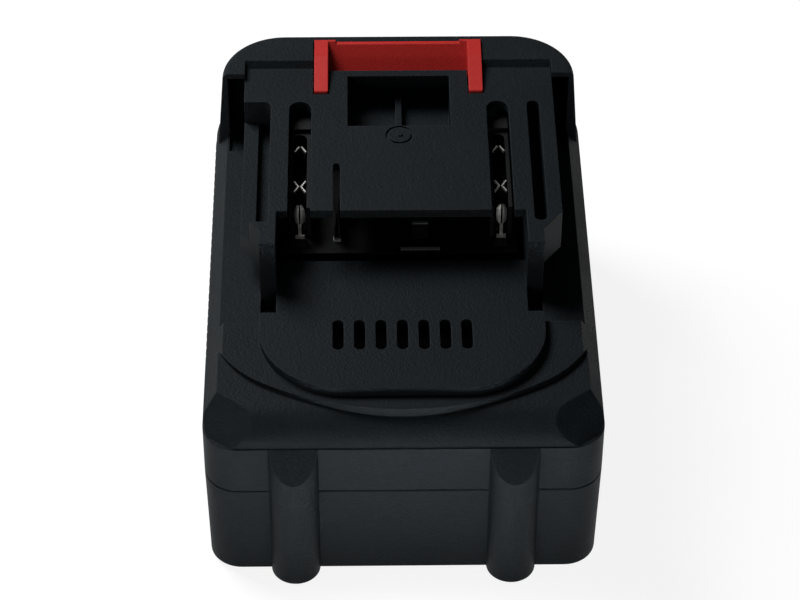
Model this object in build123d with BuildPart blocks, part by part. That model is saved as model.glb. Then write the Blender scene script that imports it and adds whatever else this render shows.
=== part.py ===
"""Slide-on battery pack for a cordless tool, in millimetres, Z up, origin at the centre of its base.

The vented tongue and the terminal mouth face -Y, and the red latch is at the +Y end. Ten cells lie
across the pack in five columns of two. The case closes round them, and four screws in half-round
pillars hold it shut.
"""
import os
from math import radians, tan

from build123d import *

os.makedirs("parts", exist_ok=True)

# General fits
overrun = 1.0
part_gap = 0.1
fit_gap = 0.2
sliding_gap = 0.25
seat_gap = 0.3

# Cells and the room round them
cell_diameter = 18.2
cell_length = 65.0
cell_columns = 5
column_pitch = 19.2
layer_pitch = 18.5
end_room = 5.3
nose_room = 3.7
tail_room = 2.5

# Case skin
case_wall = 2.2
floor_thickness = 2.0
roof_thickness = 2.0
front_corner_radius = 7.0
rear_corner_radius = 12.0
lower_draft_angle = 1.1
base_edge_chamfer = 0.7
seam_chamfer = 0.3
lip_height = 1.8
lip_thickness = 1.0
lip_root = 1.6

# Case heights, each above the one before
parting_height = 23.6
shoulder_rise = 5.9
ring_rise = 1.1
tongue_rise = 2.0
rail_rise = 12.2
hump_rise = 1.5

# Front shoulder, ledge and side chamfers
ledge_step = 0.3
shoulder_depth = 7.6
side_chamfer_width = 2.6
side_chamfer_drop = 3.3
corner_cut_front = 33.0
corner_cut_setback = 12.6
corner_cut_low_setback = 4.4

# Screw pillars
pillar_radius = 5.0
pillar_reach = 4.4
pillar_x = 21.95
pillar_slope_drop = 5.9
pillar_base_chamfer = 0.8
boss_wall = 0.9

# Ring plate and tongue
ring_front_setback = 4.2
ring_corner_x = 28.5
ring_corner_setback = 12.1
ring_side_x = 38.7
ring_rear_setback = 29.1
tongue_setback = 8.1
tongue_corner_radius = 17.0
vent_count = 7
vent_pitch = 4.32
vent_width = 2.25
vent_length = 8.6
vent_setback = 15.3

# Rail block
rail_setback = 12.0
rail_length = 46.3
arm_reach = 10.0
arm_inner_x = 25.55
arm_outer_x = 28.85
mouth_floor_setback = 1.9
lip_width = 4.05
lip_thickness_z = 9.7
lip_nose_length = 5.3
lip_nose_setback = 6.0
rail_slot_x = 28.5
rail_slot_width = 2.7
rail_slot_depth = 8.0
rail_slot_rear_gap = 11.2
rail_slot_front_gap = 3.3
low_lip_drop = 5.6
notch_length = 7.3
tongue_hollow_inset = 4.4

# Bay under the rail block's roof
bay_rear_gap = 2.6

# Terminal slots and the signal slot
terminal_x = 20.9
terminal_slot_width = 4.7
signal_x = 13.2
signal_slot_width = 1.45
signal_slot_length = 14.9

# Latch window and its well
window_width = 21.8
window_rear_gap = 2.6
window_length = 16.75
window_depth = 8.0
well_wall = 1.5
well_rib_width = 1.3
well_rib_height = 2.3
well_rib_head_width = 1.7
well_rib_head_length = 1.2
gate_radius = 2.9
gate_groove = 0.5
gate_depth = 0.4
gate_gap = 2.95
gate_nub_radius = 0.6
gate_nub_height = 0.3
trough_wall = 1.0

# Grip grooves down both sides
grip_count = 28
grip_pitch = 2.4
grip_width = 1.1
grip_depth = 0.4
grip_low_gap = 1.5
grip_rear_y = 39.0

# Hump behind the rails
hump_draft_angle = 4.5
hump_slope_run = 1.1
hump_corner_radius = 15.0
hump_inset = 0.6
hump_rear_inset = 0.3
hump_edge_radius = 1.2
cheek_reach = 3.6
cheek_pocket_wall = 2.8
cheek_pocket_lead = 5.5
cheek_pocket_rear_gap = 6.55
cheek_pocket_depth = 1.2
cheek_roof = 1.2
hump_hollow_inner_x = 24.6
hump_hollow_outer_x = 31.0
hump_hollow_length = 3.6

# Latch
latch_half_width = 18.0
latch_arm_width = 2.95
latch_arm_thickness = 3.4
latch_arm_reach = 10.1
latch_arm_drop = 1.6
latch_step_x = 13.4
latch_step_drop = 0.5
latch_rear_gap = 4.6
latch_body_depth = 5.7
latch_body_height = 9.7
latch_proud = 0.6
latch_travel = 4.0
latch_ramp_drop = 6.2
latch_crest = 0.5
latch_flange_reach = 1.1
latch_flange_height = 2.2
latch_edge_radius = 0.4
latch_peg_radius = 1.6
latch_peg_height = 1.4
chamber_front_gap = 0.9
neck_front_gap = 2.4

# Spring plate and springs
spring_plate_thickness = 1.2
spring_plate_lap = 3.4
spring_plate_rim = 1.2
stake_radius = 0.8
spring_x_share = 0.61
spring_radius = 2.4
spring_gap = 0.05
spring_wire_radius = 0.3

# Screws
screw_seat_height = 14.0
screw_head_radius = 2.75
screw_head_height = 2.2
screw_recess_radius = 3.0
screw_radius = 1.5
screw_clearance_radius = 1.7
screw_pilot_clearance = 0.05
screw_thread_depth = 8.0
screw_socket_width = 2.2
screw_socket_depth = 1.3
screw_tip_chamfer = 0.6

# Cell details
cell_shoulder = 0.6
cell_nub_radius = 3.2
cell_nub_height = 0.8

# Cell holders
holder_depth = 6.0
holder_web = 0.8
holder_wall = 0.8
holder_shoulder = 8.3
holder_trim = 0.7
bore_clearance = 0.1
holder_window_width = 11.0
holder_peg_width = 2.6

# Nickel strips and leads
strip_thickness = 0.3
strip_reach = 5.6
strip_corner_cut = 1.0
strip_cup_width = 9.0
strip_hole_radius = 2.2
lead_width = 3.0
lead_inner_x = 22.0

# Insulating sheets
sheet_thickness = 0.5
sheet_inset = 2.2
sheet_corner_cut = 3.0

# Board and what stands on it
foam_thickness = 1.0
foam_side_gap = 0.5
foam_front_gap = 1.4
foam_rear_gap = 4.2
board_thickness = 1.6
board_side_gap = 1.3
board_front_reach = 1.5
board_rear_gap = 1.2
transistor_count = 3
transistor_width = 6.6
transistor_length = 5.2
transistor_height = 2.3
transistor_pitch = 13.0
transistor_rear_gap = 1.0
block_base_height = 2.2
block_side_gap = 1.5
block_front_setback = 1.0
block_rear_gap = 8.2
tower_wall = 0.8
tower_room = 1.45
tower_height = 8.0
tower_front_setback = 6.1
tower_rear_gap = 0.8
tower_stop_length = 4.8
tower_stop_height = 9.0
contact_foot_thickness = 0.6
contact_foot_width = 2.7
contact_neck_width = 1.0
contact_neck_height = 3.0
leaf_thickness = 0.5
leaf_height = 8.6
leaf_wall_height = 3.5
leaf_pinch = 0.42
leaf_bulge = 1.05
leaf_flare = 1.1
leaf_bend_length = 1.75
leaf_front_setback = 1.8
leaf_rear_gap = 4.3
first_pinch_share = 0.518
finger_half_length = 1.75
signal_leaf_thickness = 0.3
signal_leaf_height = 4.0
signal_front_gap = 4.5
signal_leaf_spread = 0.5
signal_leaf_pinch = 0.2
signal_leaf_length = 9.3
signal_foot_width = 1.6
connector_x = 4.0
connector_width = 8.2
connector_depth = 5.0
connector_height = 4.0
connector_front_reach = 0.1
connector_key_width = 3.3
connector_key_length = 1.6
connector_key_height = 4.2
connector_wall = 0.8

# Worked-out levels
cell_radius = cell_diameter / 2
lower_cell_z = floor_thickness + seat_gap + cell_radius
upper_cell_z = lower_cell_z + layer_pitch
cell_top = upper_cell_z + cell_radius
roof_underside = cell_top + seat_gap
top_height = roof_underside + roof_thickness
ledge_height = top_height - shoulder_rise
ring_height = top_height + ring_rise
tongue_height = ring_height + tongue_rise
rail_height = tongue_height + rail_rise
hump_height = rail_height + hump_rise
latch_top = hump_height + latch_proud

# Worked-out plan places
column_span = (cell_columns - 1) * column_pitch
case_width = cell_length + 2 * (end_room + case_wall)
case_length = column_span + cell_diameter + nose_room + tail_room + 2 * case_wall
front_y = -case_length / 2
rear_y = case_length / 2
first_column_y = front_y + case_wall + nose_room + cell_radius
column_places = [first_column_y + column * column_pitch for column in range(cell_columns)]
rail_rear = rear_y - rail_setback
rail_front = rail_rear - rail_length
arm_front = rail_front - arm_reach
mouth_floor_y = rail_front - mouth_floor_setback
tongue_front = front_y + tongue_setback
lip_outer_x = arm_outer_x + lip_width
lip_underside = rail_height - lip_thickness_z
slot_rear = rail_rear - rail_slot_rear_gap
slot_front = rail_front - rail_slot_front_gap
window_rear = rail_rear - window_rear_gap
window_front = window_rear - window_length
bay_rear = rail_rear - bay_rear_gap
bay_roof = rail_height - roof_thickness
pillar_y = rear_y + pillar_reach - pillar_radius
pillar_places = [(x, y) for x in (-pillar_x, pillar_x) for y in (-pillar_y, pillar_y)]
latch_rear = rear_y - latch_rear_gap
latch_front = latch_rear - latch_body_depth
latch_arm_front = latch_front - latch_arm_reach
latch_arm_inner_x = latch_half_width - latch_arm_width
latch_underside = latch_top - latch_body_height
chamber_front = latch_front - chamber_front_gap
neck_front = latch_front - neck_front_gap
stop_height = latch_underside + latch_flange_height + fit_gap
plate_top = roof_underside + spring_plate_thickness + part_gap


def case_outline(inset):
    """Plan of the case, drawn this far inside its widest outline."""
    with BuildSketch(mode=Mode.PRIVATE) as plan:
        Rectangle(case_width - 2 * inset, case_length - 2 * inset)
        fillet(plan.vertices().group_by(Axis.Y)[0], front_corner_radius - inset)
        fillet(plan.vertices().group_by(Axis.Y)[-1], rear_corner_radius - inset)
    return plan.sketch


def box_between(x_range, y_range, z_range):
    """Solid box between two corners, for walls and cuts."""
    with BuildPart(mode=Mode.PRIVATE) as block:
        with BuildSketch(Plane.XY.offset(z_range[0])):
            with Locations(((x_range[0] + x_range[1]) / 2, (y_range[0] + y_range[1]) / 2)):
                Rectangle(x_range[1] - x_range[0], y_range[1] - y_range[0])
        extrude(amount=z_range[1] - z_range[0])
    return block.part


def both_sides(x_range, y_range, z_range):
    """The same box on the left and on the right."""
    right = box_between(x_range, y_range, z_range)
    return [right, right.mirror(Plane.YZ)]


def pillar_slope_cutter():
    """Wedge that slants the tops of the front and rear pillars down to their outer rims."""
    reach = pillar_reach + overrun
    drop = pillar_slope_drop * reach / pillar_reach
    with BuildPart(mode=Mode.PRIVATE) as wedge:
        with BuildSketch(Plane.YZ):
            with BuildLine():
                Polyline(
                    (rear_y, ledge_height),
                    (rear_y + reach, ledge_height - drop),
                    (rear_y + reach, ledge_height + overrun),
                    (rear_y, ledge_height + overrun),
                    close=True,
                )
            make_face()
        extrude(amount=case_width / 2, both=True)
        mirror(about=Plane.XZ)
    return wedge.part


def shoulder_block(inset, lowest, highest):
    """Upper body between two levels: rounded front shoulder, side chamfers and cut corners."""
    half_width = case_width / 2 - inset
    front = front_y + inset
    top = highest
    side_drop = top - side_chamfer_drop
    with BuildPart(mode=Mode.PRIVATE) as block:
        with BuildSketch(Plane.XY.offset(lowest)):
            add(case_outline(inset))
        extrude(amount=top - lowest)
        with BuildSketch(Plane.YZ) as side_view:
            with BuildLine():
                shoulder_foot = (front, lowest)
                shoulder_head = (front + shoulder_depth, top)
                shoulder = TangentArc(shoulder_head, shoulder_foot, tangent=(-1, 0))
                Line(shoulder_foot, (front - overrun, lowest))
                Line((front - overrun, lowest), (front - overrun, lowest - overrun))
                Line((front - overrun, lowest - overrun), (rear_y + overrun, lowest - overrun))
                Line((rear_y + overrun, lowest - overrun), (rear_y + overrun, top))
                Line((rear_y + overrun, top), shoulder_head)
            make_face()
        extrude(amount=case_width, both=True, mode=Mode.INTERSECT)
        with BuildSketch(Plane.XZ) as front_view:
            with BuildLine():
                Polyline(
                    (-half_width, lowest),
                    (half_width, lowest),
                    (half_width, side_drop),
                    (half_width - side_chamfer_width, top),
                    (side_chamfer_width - half_width, top),
                    (-half_width, side_drop),
                    close=True,
                )
            make_face()
        extrude(amount=case_length, both=True, mode=Mode.INTERSECT)
    return block.part


def corner_plane(side, inset):
    """Slanted plane that cuts a front corner of the shoulder, on the side of this sign."""
    high_front = Vector(side * corner_cut_front, front_y + shoulder_depth, top_height)
    high_side = Vector(side * (case_width / 2), front_y + corner_cut_setback, top_height)
    low_corner = Vector(side * (case_width / 2), front_y + corner_cut_low_setback, ledge_height)
    normal = (high_side - high_front).cross(low_corner - high_front)
    outward = normal.normalized() * (1 if normal.Z > 0 else -1)
    return Plane(origin=high_front - outward * inset, z_dir=outward)


def ring_sketch():
    """Plan of the low ring plate: a wide front arc, two tangent corner arcs and a straight rear."""
    corner = (ring_corner_x, front_y + ring_corner_setback)
    side = (ring_side_x, front_y + ring_rear_setback)
    nose = (0, front_y + ring_front_setback)
    with BuildSketch(mode=Mode.PRIVATE) as plan:
        with BuildLine():
            front_arc = ThreePointArc((-corner[0], corner[1]), nose, corner)
            right_arc = TangentArc(corner, side, tangent=front_arc % 1)
            Line(side, (0, side[1]))
            Line((0, side[1]), (-side[0], side[1]))
            left_arc = TangentArc((-corner[0], corner[1]), (-side[0], side[1]), tangent=-(front_arc % 0))
        make_face()
    return plan.sketch


def tongue_sketch(inset):
    """Plan of the tongue, with its large front corners, back to the mouth's floor edge."""
    front = tongue_front + inset
    with BuildSketch(mode=Mode.PRIVATE) as plan:
        with Locations((0, (mouth_floor_y + front) / 2)):
            Rectangle(2 * (arm_outer_x - inset), mouth_floor_y - front)
        fillet(plan.vertices().group_by(Axis.Y)[0], tongue_corner_radius - inset)
    return plan.sketch


def hump_block():
    """Full-width hump behind the rails, with two cheeks beside the rail ends and a sloped sill."""
    cheek_front = rail_rear - cheek_reach
    lowest = ledge_height
    with BuildPart(mode=Mode.PRIVATE) as block:
        with BuildSketch(Plane.XY.offset(lowest)) as plan:
            Rectangle(case_width - 2 * hump_inset, case_length - 2 * hump_rear_inset)
            fillet(plan.vertices(), hump_corner_radius)
        extrude(amount=hump_height - lowest, taper=hump_draft_angle)
        fillet(block.faces().sort_by(Axis.Z)[-1].edges(), hump_edge_radius)
        with BuildSketch(Plane.XY.offset(lowest)):
            with BuildLine():
                Polyline(
                    (-case_width, -case_length),
                    (case_width, -case_length),
                    (case_width, cheek_front),
                    (lip_outer_x, cheek_front),
                    (lip_outer_x, rail_rear),
                    (-lip_outer_x, rail_rear),
                    (-lip_outer_x, cheek_front),
                    (-case_width, cheek_front),
                    close=True,
                )
            make_face()
        extrude(amount=hump_height, mode=Mode.SUBTRACT)
        with BuildSketch(Plane.YZ):
            with BuildLine():
                Polyline(
                    (rail_rear, rail_height),
                    (rail_rear + hump_slope_run, hump_height),
                    (rail_rear + hump_slope_run, hump_height + overrun),
                    (rail_rear - overrun, hump_height + overrun),
                    (rail_rear - overrun, rail_height),
                    close=True,
                )
            make_face()
        extrude(amount=lip_outer_x, both=True, mode=Mode.SUBTRACT)
    return block.part


def cheek_pocket():
    """Pocket in the right cheek, open to the front, that follows the hump's rounded rear corner."""
    outer_x = case_width / 2 - hump_inset - cheek_pocket_wall
    bend_y = rear_y - hump_rear_inset - hump_corner_radius
    front = rail_rear - cheek_reach - cheek_pocket_lead
    floor_z = top_height - cheek_pocket_depth
    with BuildPart(mode=Mode.PRIVATE) as pocket:
        with BuildSketch(Plane.XY.offset(floor_z)):
            with BuildLine():
                Polyline((lip_outer_x, front), (outer_x, front), (outer_x, bend_y))
                TangentArc((outer_x, bend_y), (lip_outer_x, rear_y - cheek_pocket_rear_gap), tangent=(0, 1))
                Line((lip_outer_x, rear_y - cheek_pocket_rear_gap), (lip_outer_x, front))
            make_face()
        extrude(amount=hump_height - cheek_roof - floor_z)
    return pocket.part


def lip_sketch():
    """Plan of one rail lip, from its slanted nose back into the hump."""
    nose_y = rail_front - lip_nose_setback
    with BuildSketch(mode=Mode.PRIVATE) as plan:
        with BuildLine():
            Polyline(
                (arm_inner_x + part_gap, nose_y),
                (arm_outer_x, nose_y),
                (lip_outer_x, nose_y + lip_nose_length),
                (lip_outer_x, rail_rear + overrun),
                (arm_inner_x + part_gap, rail_rear + overrun),
                close=True,
            )
        make_face()
    return plan.sketch


def ring_of(outer, inner, lowest, highest):
    """Wall between two plan outlines, from one level to another."""
    with BuildPart(mode=Mode.PRIVATE) as wall:
        with BuildSketch(Plane.XY.offset(lowest)):
            add(outer)
            add(inner, mode=Mode.SUBTRACT)
        extrude(amount=highest - lowest)
    return wall.part


# Lower case: a drafted tub with the seam's lip, and the lower halves of the pillars
lower_lip = ring_of(
    case_outline(case_wall - lip_thickness),
    case_outline(case_wall),
    parting_height - lip_root,
    parting_height + lip_height,
)
base_inset = parting_height * tan(radians(lower_draft_angle))
with BuildPart() as lower_pillars:
    with BuildSketch():
        with Locations(*pillar_places):
            Circle(pillar_radius)
    extrude(amount=parting_height)
    chamfer(lower_pillars.edges().group_by(Axis.Z)[0], pillar_base_chamfer)
with BuildPart() as lower_case:
    with BuildSketch():
        add(case_outline(base_inset))
    extrude(amount=parting_height, taper=-lower_draft_angle)
    chamfer(lower_case.faces().sort_by(Axis.Z)[0].edges(), base_edge_chamfer)
    chamfer(lower_case.faces().sort_by(Axis.Z)[-1].edges(), seam_chamfer)
    add(lower_pillars.part)
    with BuildSketch(Plane.XY.offset(floor_thickness)):
        add(case_outline(case_wall))
    extrude(amount=parting_height, mode=Mode.SUBTRACT)
    add(lower_lip)
    with BuildSketch(Plane.XY.offset(floor_thickness)):
        with Locations(*pillar_places):
            Circle(screw_recess_radius + boss_wall)
        add(case_outline(case_wall - lip_thickness), mode=Mode.INTERSECT)
    extrude(amount=parting_height - floor_thickness)
    with BuildSketch():
        with Locations(*pillar_places):
            Circle(screw_recess_radius)
    extrude(amount=screw_seat_height, mode=Mode.SUBTRACT)
    with BuildSketch():
        with Locations(*pillar_places):
            Circle(screw_clearance_radius)
    extrude(amount=parting_height + lip_height + overrun, mode=Mode.SUBTRACT)
lower_case.part.label = "lower_case"
export_step(lower_case.part, "parts/lower_case.step")


def ring_block():
    """Low ring plate, down to the ledge so that it meets the shoulder, with the side chamfers."""
    half_width = case_width / 2 - ledge_step
    side_drop = top_height - side_chamfer_drop
    lean = side_chamfer_width / side_chamfer_drop
    with BuildPart(mode=Mode.PRIVATE) as block:
        with BuildSketch(Plane.XY.offset(ledge_height)):
            add(ring_sketch())
        extrude(amount=ring_height - ledge_height)
        with BuildSketch(Plane.XZ):
            with BuildLine():
                Polyline(
                    (-half_width, ledge_height),
                    (half_width, ledge_height),
                    (half_width, side_drop),
                    (half_width - lean * (ring_height - side_drop), ring_height),
                    (lean * (ring_height - side_drop) - half_width, ring_height),
                    (-half_width, side_drop),
                    close=True,
                )
            make_face()
        extrude(amount=case_length, both=True, mode=Mode.INTERSECT)
    return block.part


def slot_cut(x, width, rear, front, lowest, highest):
    """Cut for a slot with round ends, running along Y between two ends."""
    with BuildPart(mode=Mode.PRIVATE) as cut:
        with BuildSketch(Plane.XY.offset(lowest)):
            with Locations((x, (rear + front) / 2)):
                SlotOverall(rear - front, width, rotation=90)
        extrude(amount=highest - lowest)
    return cut.part


# Upper case: skirt, pillars and shoulder, then the ring, tongue, hump and rail block
shoulder = shoulder_block(ledge_step, ledge_height, top_height)
case_room = shoulder_block(case_wall, ledge_height, roof_underside)
for side in (-1, 1):
    shoulder = shoulder.split(corner_plane(side, 0), keep=Keep.BOTTOM)
    case_room = case_room.split(corner_plane(side, roof_thickness), keep=Keep.BOTTOM)
pillar_wedges = pillar_slope_cutter()
ring_plate = ring_block()
hump = hump_block()
tongue_plan = tongue_sketch(0)
tongue_room_plan = tongue_sketch(tongue_hollow_inset)
lip_plan = lip_sketch()
well_x = window_width / 2 + well_wall
well_floor = rail_height - window_depth
mouth_x = (-arm_inner_x, arm_inner_x)
slot_x = (rail_slot_x - rail_slot_width / 2, rail_slot_x + rail_slot_width / 2)
slot_floor = rail_height - rail_slot_depth
pocket = cheek_pocket()
above_all = hump_height + overrun
latch_gap_x = latch_half_width + sliding_gap
chamber_x = latch_half_width + latch_flange_reach + sliding_gap
chamber_y = (chamber_front, latch_rear + sliding_gap)
arm_gap_floor = latch_top - latch_arm_thickness - latch_travel - sliding_gap
plate_x = chamber_x + spring_plate_lap
plate_y = (chamber_front - spring_plate_rim, latch_rear + sliding_gap + spring_plate_rim)
stake_places = [(side * (chamber_x + plate_x) / 2, sum(plate_y) / 2) for side in (-1, 1)]
signal_slot_rear = rail_front + signal_slot_length
cut_rail_z = (rail_height - low_lip_drop, above_all)
well_z = (well_floor, above_all)
terminal_slot_front = rail_front - terminal_slot_width
signal_slot_front = rail_front - signal_slot_width
roof_cuts = [
    slot_cut(-terminal_x, terminal_slot_width, slot_rear, terminal_slot_front, bay_roof, above_all),
    slot_cut(terminal_x, terminal_slot_width, slot_rear, terminal_slot_front, bay_roof, above_all),
    slot_cut(-signal_x, signal_slot_width, signal_slot_rear, signal_slot_front, bay_roof, above_all),
    slot_cut(-rail_slot_x, rail_slot_width, slot_rear, slot_front, slot_floor, above_all),
    slot_cut(rail_slot_x, rail_slot_width, slot_rear, slot_front, slot_floor, above_all),
    box_between((-lip_outer_x - overrun, -rail_slot_x), (slot_front, slot_rear), cut_rail_z),
    box_between((-rail_slot_x, -slot_x[0]), (slot_front, slot_rear - rail_slot_width / 2), cut_rail_z),
    box_between(mouth_x, (arm_front - overrun, rail_front), (tongue_height, above_all)),
    box_between((-window_width / 2, window_width / 2), (window_front, window_rear), well_z),
    box_between((-latch_gap_x, latch_gap_x), (neck_front, chamber_y[1]), (stop_height, above_all)),
    box_between((-chamber_x, chamber_x), chamber_y, (ledge_height, stop_height)),
    box_between((-plate_x, plate_x), plate_y, (ledge_height, plate_top)),
    *both_sides(
        (latch_arm_inner_x - sliding_gap, latch_gap_x),
        (latch_arm_front - sliding_gap, chamber_front),
        (arm_gap_floor, above_all),
    ),
    *both_sides(
        (arm_inner_x, arm_outer_x),
        (arm_front - notch_length, arm_front),
        (ledge_height, tongue_height),
    ),
    *both_sides(
        (hump_hollow_inner_x, hump_hollow_outer_x),
        (rail_rear + case_wall, rail_rear + case_wall + hump_hollow_length),
        (ledge_height, hump_height - roof_thickness),
    ),
]
with BuildPart() as upper_pillars:
    with BuildSketch(Plane.XY.offset(parting_height)):
        with Locations(*pillar_places):
            Circle(pillar_radius)
    extrude(amount=ledge_height - parting_height)
    add(pillar_wedges, mode=Mode.SUBTRACT)
well = box_between(
    (-well_x, well_x),
    (window_front - well_wall, bay_rear + overrun),
    (well_floor - well_wall, bay_roof),
)
troughs = both_sides(
    (well_x - trough_wall, latch_gap_x + trough_wall),
    (latch_arm_front - sliding_gap - trough_wall, bay_rear + overrun),
    (arm_gap_floor - trough_wall, bay_roof),
)
well_ribs = [
    box_between(
        (-well_rib_width / 2, well_rib_width / 2),
        (window_front, window_rear),
        (well_floor, well_floor + well_rib_height),
    ),
    box_between(
        (-well_rib_head_width / 2, well_rib_head_width / 2),
        (window_rear - well_rib_head_length, window_rear),
        (well_floor, well_floor + well_rib_height),
    ),
]
bay = box_between(mouth_x, (mouth_floor_y, bay_rear), (ledge_height, bay_roof))
rail_walls = box_between(
    (-arm_outer_x, arm_outer_x),
    (arm_front, rail_rear + overrun),
    (roof_underside, rail_height),
)
gate_y = window_front - gate_gap
boss_bottom = parting_height + lip_height + fit_gap
pilot_top = parting_height + screw_thread_depth + overrun
grip_x = case_width / 2 - ledge_step - grip_depth
grip_middle_y = grip_rear_y - (grip_count - 1) * grip_pitch / 2
grip_low = parting_height + grip_low_gap
with BuildPart() as grip_cuts_right:
    with BuildSketch(Plane.XY.offset(grip_low)):
        with Locations((grip_x + overrun / 2, grip_middle_y)):
            with GridLocations(overrun, grip_pitch, 1, grip_count):
                Rectangle(overrun, grip_width)
    extrude(amount=top_height - side_chamfer_drop - grip_low)
grip_cuts = [grip_cuts_right.part, grip_cuts_right.part.mirror(Plane.YZ)]
with BuildPart() as upper_case:
    with BuildSketch(Plane.XY.offset(parting_height)):
        add(case_outline(0))
    extrude(amount=ledge_height - parting_height)
    chamfer(upper_case.faces().sort_by(Axis.Z)[0].edges(), seam_chamfer)
    add(upper_pillars.part)
    add(shoulder)
    add(ring_plate)
    with BuildSketch(Plane.XY.offset(top_height)):
        add(tongue_plan)
    extrude(amount=tongue_height - top_height)
    add(hump)
    add(rail_walls)
    with BuildSketch(Plane.XY.offset(lip_underside)) as lips:
        add(lip_plan)
        mirror(about=Plane.YZ)
    extrude(amount=lip_thickness_z)
    with BuildSketch(Plane.XY.offset(parting_height)):
        add(case_outline(case_wall))
    extrude(amount=ledge_height - parting_height, mode=Mode.SUBTRACT)
    with BuildSketch(Plane.XY.offset(parting_height)):
        add(case_outline(case_wall - lip_thickness - fit_gap))
    extrude(amount=lip_height + fit_gap, mode=Mode.SUBTRACT)
    add(case_room, mode=Mode.SUBTRACT)
    with BuildSketch(Plane.XY.offset(ledge_height)):
        add(tongue_room_plan)
    extrude(amount=tongue_height - roof_thickness - ledge_height, mode=Mode.SUBTRACT)
    add(bay, mode=Mode.SUBTRACT)
    add(well)
    add(troughs)
    with BuildSketch(Plane.XY.offset(boss_bottom)):
        with Locations(*pillar_places):
            Circle(screw_recess_radius + boss_wall)
        add(case_outline(ledge_step), mode=Mode.INTERSECT)
    extrude(amount=pilot_top + boss_wall - boss_bottom)
    add(roof_cuts, mode=Mode.SUBTRACT)
    add([pocket, pocket.mirror(Plane.YZ)], mode=Mode.SUBTRACT)
    add(well_ribs)
    with BuildSketch(Plane.XY.offset(tongue_height)):
        with Locations((0, tongue_front + vent_setback)):
            with GridLocations(vent_pitch, vent_length, vent_count, 1):
                SlotOverall(vent_length, vent_width, rotation=90)
    extrude(amount=ledge_height - tongue_height, mode=Mode.SUBTRACT)
    with BuildSketch(Plane.XY.offset(rail_height)):
        with Locations((0, gate_y)):
            Circle(gate_radius)
            Circle(gate_radius - gate_groove, mode=Mode.SUBTRACT)
    extrude(amount=-gate_depth, mode=Mode.SUBTRACT)
    with BuildSketch(Plane.XY.offset(rail_height)):
        with Locations((0, gate_y)):
            Circle(gate_nub_radius)
    extrude(amount=gate_nub_height)
    with BuildSketch(Plane.XY.offset(parting_height)):
        with Locations(*pillar_places):
            Circle(screw_radius + screw_pilot_clearance)
    extrude(amount=pilot_top - parting_height, mode=Mode.SUBTRACT)
    with BuildSketch(Plane.XY.offset(roof_underside)):
        with Locations(*stake_places):
            Circle(stake_radius)
    extrude(amount=spring_plate_thickness + 2 * part_gap)
    add(grip_cuts, mode=Mode.SUBTRACT)
upper_case.part.label = "upper_case"
export_step(upper_case.part, "parts/upper_case.step")


# Screws: cap heads in the pillars' recesses, driven from below
screw_tip = parting_height + screw_thread_depth
with BuildPart() as case_screws:
    with BuildSketch(Plane.XY.offset(screw_seat_height - screw_head_height)):
        with Locations(*pillar_places):
            Circle(screw_head_radius)
            RegularPolygon(screw_socket_width / 2, 6, major_radius=False, mode=Mode.SUBTRACT)
    extrude(amount=screw_socket_depth)
    with BuildSketch(Plane.XY.offset(screw_seat_height - screw_head_height + screw_socket_depth)):
        with Locations(*pillar_places):
            Circle(screw_head_radius)
    extrude(amount=screw_head_height - screw_socket_depth)
    with BuildSketch(Plane.XY.offset(screw_seat_height)):
        with Locations(*pillar_places):
            Circle(screw_radius)
    extrude(amount=screw_tip - screw_seat_height)
    chamfer(case_screws.edges().group_by(Axis.Z)[-1], screw_tip_chamfer)
case_screws.part.label = "case_screws"
export_step(case_screws.part, "parts/case_screws.step")


# Latch: one moulding with two arms on the rail block and a scooped face between them
spring_y = (latch_front + latch_rear) / 2
spring_x = spring_x_share * latch_half_width
spring_places = [(-spring_x, spring_y), (spring_x, spring_y)]
with BuildPart() as latch_scoop:
    with BuildSketch(Plane.YZ):
        with BuildLine():
            Polyline(
                (latch_rear - latch_crest, latch_top),
                (latch_front, latch_top - latch_ramp_drop),
                (latch_front - overrun, latch_top - latch_ramp_drop),
                (latch_front - overrun, latch_top),
                close=True,
            )
        make_face()
    extrude(amount=latch_arm_inner_x, both=True)
latch_body = box_between(
    (-latch_half_width, latch_half_width),
    (latch_front, latch_rear),
    (latch_underside, latch_top),
)
latch_flange = box_between(
    (-latch_half_width - latch_flange_reach, latch_half_width + latch_flange_reach),
    (latch_front, latch_rear),
    (latch_underside, latch_underside + latch_flange_height),
)
latch_arms = both_sides(
    (latch_arm_inner_x, latch_half_width),
    (latch_arm_front, latch_front),
    (latch_top - latch_arm_thickness, latch_top),
)
with BuildPart() as arm_slope:
    with BuildSketch(Plane.YZ):
        with BuildLine():
            Polyline(
                (latch_front, latch_top),
                (latch_arm_front, latch_top - latch_arm_drop),
                (latch_arm_front - overrun, latch_top - latch_arm_drop),
                (latch_arm_front - overrun, latch_top),
                close=True,
            )
        make_face()
    extrude(amount=latch_half_width, both=True)
crest_cut = box_between(
    (-latch_step_x, latch_step_x),
    (latch_front, latch_rear),
    (latch_top - latch_step_drop, latch_top),
)
with BuildPart() as latch_button:
    add(latch_body)
    add(latch_scoop.part, mode=Mode.SUBTRACT)
    add(latch_arms)
    add(arm_slope.part, mode=Mode.SUBTRACT)
    add(crest_cut, mode=Mode.SUBTRACT)
    fillet(latch_button.faces().group_by(Axis.Y)[0].edges(), latch_edge_radius)
    add(latch_flange)
    with BuildSketch(Plane.XY.offset(latch_underside)):
        with Locations(*spring_places):
            Circle(latch_peg_radius)
    extrude(amount=-latch_peg_height)
latch_button.part.label = "latch_button"
export_step(latch_button.part, "parts/latch_button.step")


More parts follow.
